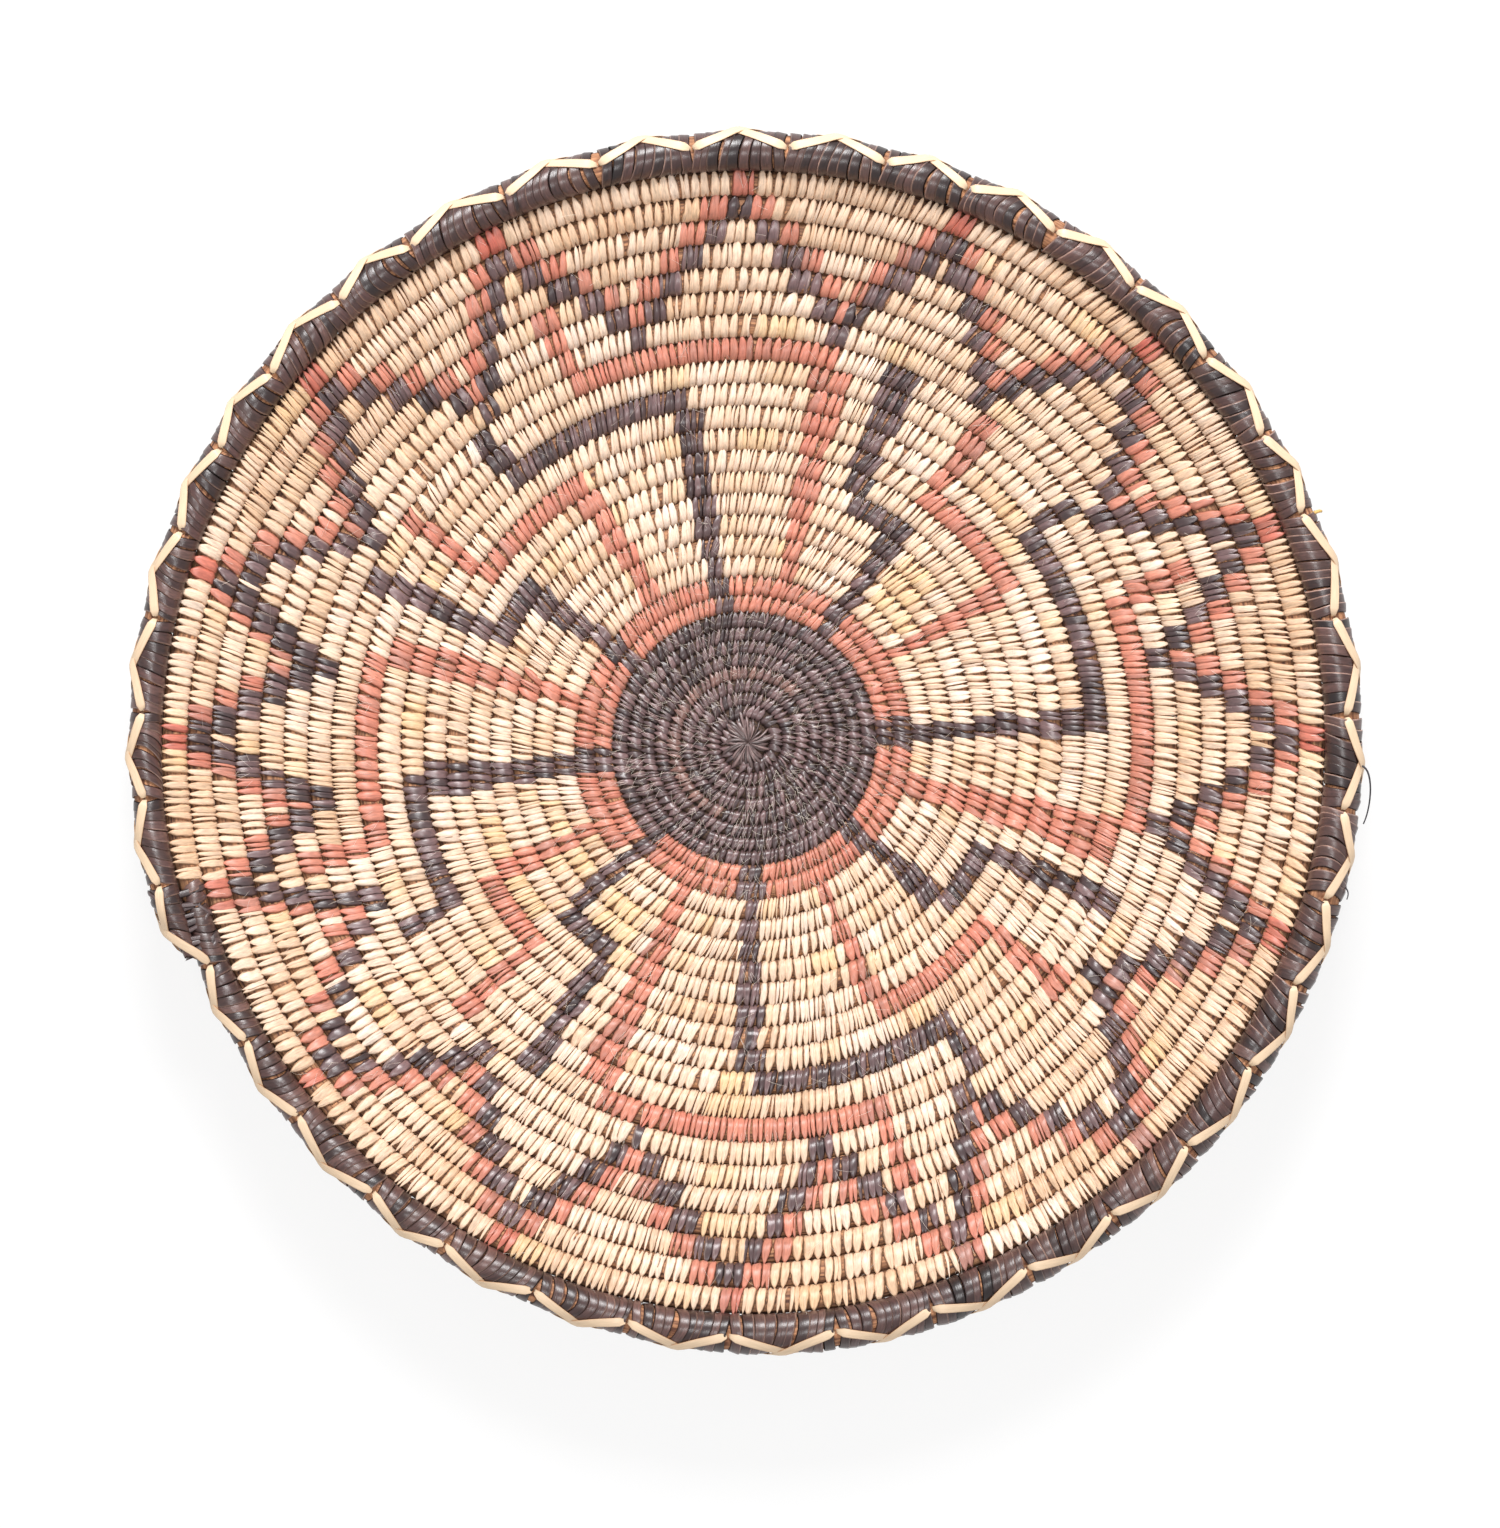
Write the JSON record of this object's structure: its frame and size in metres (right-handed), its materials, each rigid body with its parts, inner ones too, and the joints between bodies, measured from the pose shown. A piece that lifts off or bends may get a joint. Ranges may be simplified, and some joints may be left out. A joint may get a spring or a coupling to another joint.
{
  "type": "coiled basket",
  "caption": "Shallow round coiled grass basket sewn with palm strip, with a bound rim laced with pale strips.",
  "frame": {"origin": "on the surface the basket stands on, at the middle of the start knot's flat underside", "axes": "+Z up out of the open bowl, +X to the right and +Y up as the picture shows the inside"},
  "size_m": [0.3816, 0.3737, 0.0528],
  "materials": {
    "sewn_grass": "satin split palm stitches over a grass coil, pale cream with red and dark motifs",
    "dark_palm": "satin dark dyed palm strip",
    "tan_bundle": "dry matt orange-tan grass",
    "dark_binding": "glossy flat dark dyed palm strip",
    "pale_lace": "satin split palm strip with its skin on"
  },
  "bodies": {
    "root": {"start_knot": "dark_palm", "coil": "sewn_grass", "rim_bundle": "tan_bundle", "lacing_under": "pale_lace", "lacing_over": "pale_lace", "rim_binding_01": "dark_binding", "rim_binding_02": "dark_binding", "rim_binding_03": "dark_binding", "rim_binding_04": "dark_binding", "rim_binding_05": "dark_binding", "rim_binding_06": "dark_binding", "rim_binding_07": "dark_binding", "rim_binding_08": "dark_binding", "rim_binding_09": "dark_binding", "rim_binding_10": "dark_binding", "rim_binding_11": "dark_binding", "rim_binding_12": "dark_binding", "rim_binding_13": "dark_binding", "rim_binding_14": "dark_binding", "rim_binding_15": "dark_binding", "rim_binding_16": "dark_binding", "rim_binding_17": "dark_binding", "rim_binding_18": "dark_binding", "rim_binding_19": "dark_binding", "rim_binding_20": "dark_binding", "rim_binding_21": "dark_binding", "rim_binding_22": "dark_binding", "rim_binding_23": "dark_binding", "rim_binding_24": "dark_binding", "rim_binding_25": "dark_binding", "rim_binding_26": "dark_binding", "rim_binding_27": "dark_binding", "rim_binding_28": "dark_binding", "rim_binding_29": "dark_binding", "rim_binding_30": "dark_binding", "rim_binding_31": "dark_binding", "rim_binding_32": "dark_binding", "rim_binding_33": "dark_binding", "rim_binding_34": "dark_binding", "rim_binding_35": "dark_binding", "rim_binding_36": "dark_binding", "rim_binding_37": "dark_binding", "rim_binding_38": "dark_binding", "rim_binding_39": "dark_binding", "rim_binding_40": "dark_binding"}
  },
  "joints": []
}
